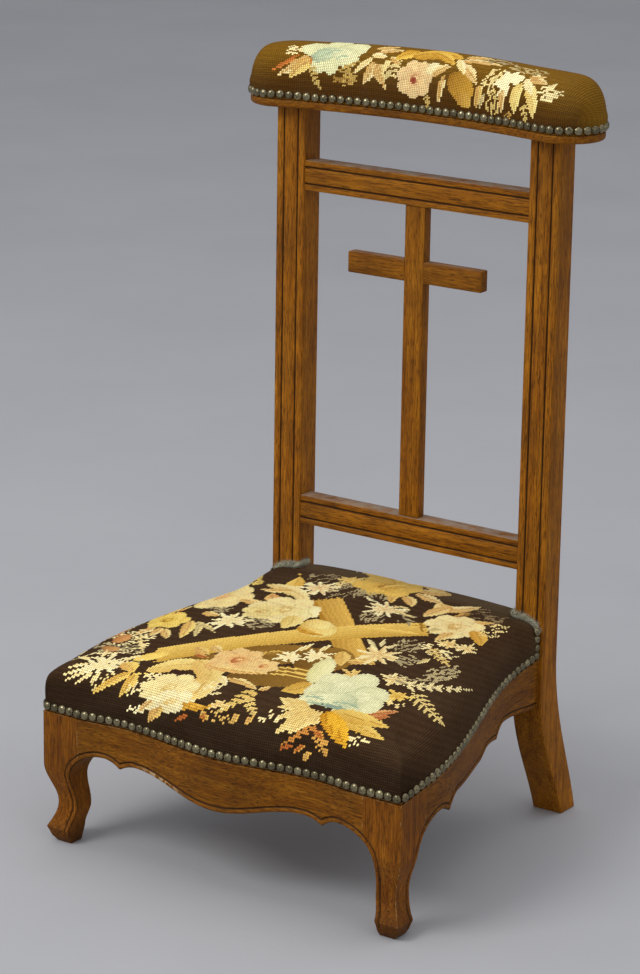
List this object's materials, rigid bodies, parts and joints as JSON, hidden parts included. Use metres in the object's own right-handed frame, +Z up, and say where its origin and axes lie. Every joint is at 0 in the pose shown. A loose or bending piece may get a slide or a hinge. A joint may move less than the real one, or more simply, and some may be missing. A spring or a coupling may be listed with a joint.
{
  "type": "kneeling bench",
  "caption": "Low upholstered kneeling bench with a sloping serpentine seat, cabriole front legs, and tall back posts carrying a cross and a kidney-shaped padded armrest",
  "frame": {"origin": "on the floor, at the centre of the object's box", "axes": "+Z up; the front of the seat faces -Y and the armrest stands at the back, toward +Y; +X is to the right seen from the front"},
  "size_m": [0.4832, 0.4606, 0.874],
  "materials": {
    "show_wood": "waxed brown oak",
    "plain_wood": "unfinished beech",
    "steel": "dull blued steel",
    "webbing": "jute webbing",
    "hessian": "loose plain weave",
    "horsehair": "matted hair",
    "seat_needlepoint": "wool needlepoint, dark brown ground with floral pattern",
    "armrest_needlepoint": "wool needlepoint, olive brown ground with floral pattern",
    "gimp": "dusty braid",
    "antique_brass": "patinated antique brass"
  },
  "bodies": {
    "root": {"left_back_post": "show_wood", "right_back_post": "show_wood", "front_left_leg": "show_wood", "front_right_leg": "show_wood", "front_seat_rail": "show_wood", "left_seat_rail": "show_wood", "right_seat_rail": "show_wood", "rear_seat_rail": "show_wood", "upper_back_rail": "show_wood", "lower_back_rail": "show_wood", "cross_upright": "show_wood", "cross_arm": "show_wood", "rail_dowels": "plain_wood", "front_left_block": "plain_wood", "front_right_block": "plain_wood", "rear_left_block": "plain_wood", "rear_right_block": "plain_wood", "block_screws": "steel", "webbing_lengthwise": "webbing", "webbing_crosswise": "webbing", "webbing_tacks": "steel", "seat_hessian": "hessian", "seat_stuffing": "horsehair", "seat_cover": "seat_needlepoint", "left_post_gimp": "gimp", "right_post_gimp": "gimp", "front_seat_nails": "antique_brass", "left_seat_nails": "antique_brass", "right_seat_nails": "antique_brass", "armrest_board": "show_wood", "armrest_stuffing": "horsehair", "armrest_cover": "armrest_needlepoint", "armrest_nails": "antique_brass"}
  },
  "joints": []
}
